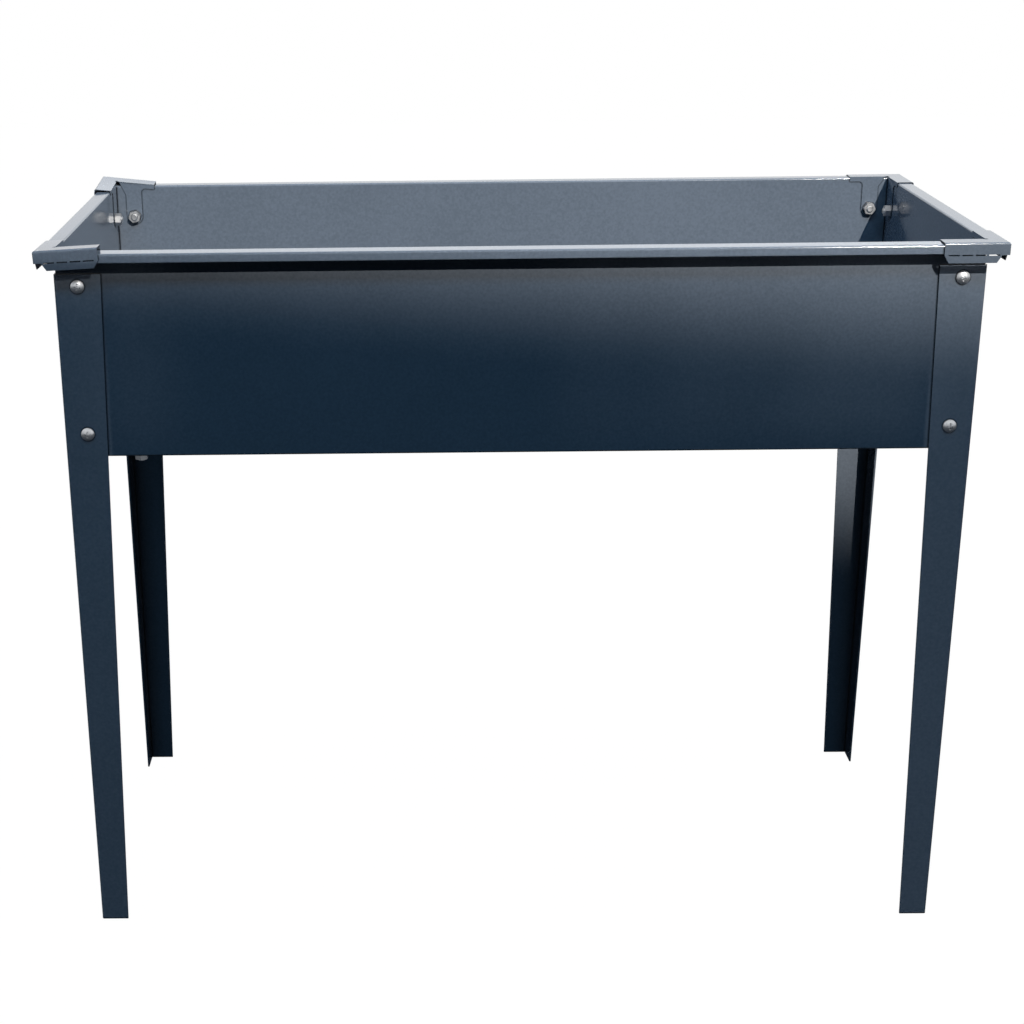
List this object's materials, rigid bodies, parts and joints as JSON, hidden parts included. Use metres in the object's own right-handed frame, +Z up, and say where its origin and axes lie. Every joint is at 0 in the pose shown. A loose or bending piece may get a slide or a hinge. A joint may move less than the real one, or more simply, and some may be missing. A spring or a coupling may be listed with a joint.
{
  "type": "raised garden bed",
  "caption": "Raised garden bed: open rectangular tub of folded, powder-coated sheet steel with a turned-out rim, bolted to tapered L-section corner legs.",
  "frame": {"origin": "on the ground under the middle of the tub", "axes": "+Z up, +X along the bed to the right, +Y from the front to the back"},
  "size_m": [1.0017, 0.4521, 0.8034],
  "materials": {
    "anthracite_coat": "satin anthracite powder coat on sheet steel",
    "zinc_plated": "bright zinc-plated steel"
  },
  "bodies": {
    "root": {"front_panel": "anthracite_coat", "back_panel": "anthracite_coat", "left_panel": "anthracite_coat", "right_panel": "anthracite_coat", "leg_front_left": "anthracite_coat", "leg_front_right": "anthracite_coat", "leg_back_left": "anthracite_coat", "leg_back_right": "anthracite_coat", "corner_cap_front_left": "anthracite_coat", "corner_cap_front_right": "anthracite_coat", "corner_cap_back_left": "anthracite_coat", "corner_cap_back_right": "anthracite_coat", "floor_plate_left": "anthracite_coat", "floor_plate_right": "anthracite_coat", "leg_bolts_front_left": "zinc_plated", "leg_bolts_front_right": "zinc_plated", "leg_bolts_back_left": "zinc_plated", "leg_bolts_back_right": "zinc_plated", "floor_bolts": "zinc_plated", "seam_bolts": "zinc_plated", "leg_nuts_front_left": "zinc_plated", "leg_nuts_front_right": "zinc_plated", "leg_nuts_back_left": "zinc_plated", "leg_nuts_back_right": "zinc_plated", "floor_nuts": "zinc_plated", "seam_nuts": "zinc_plated"}
  },
  "joints": []
}
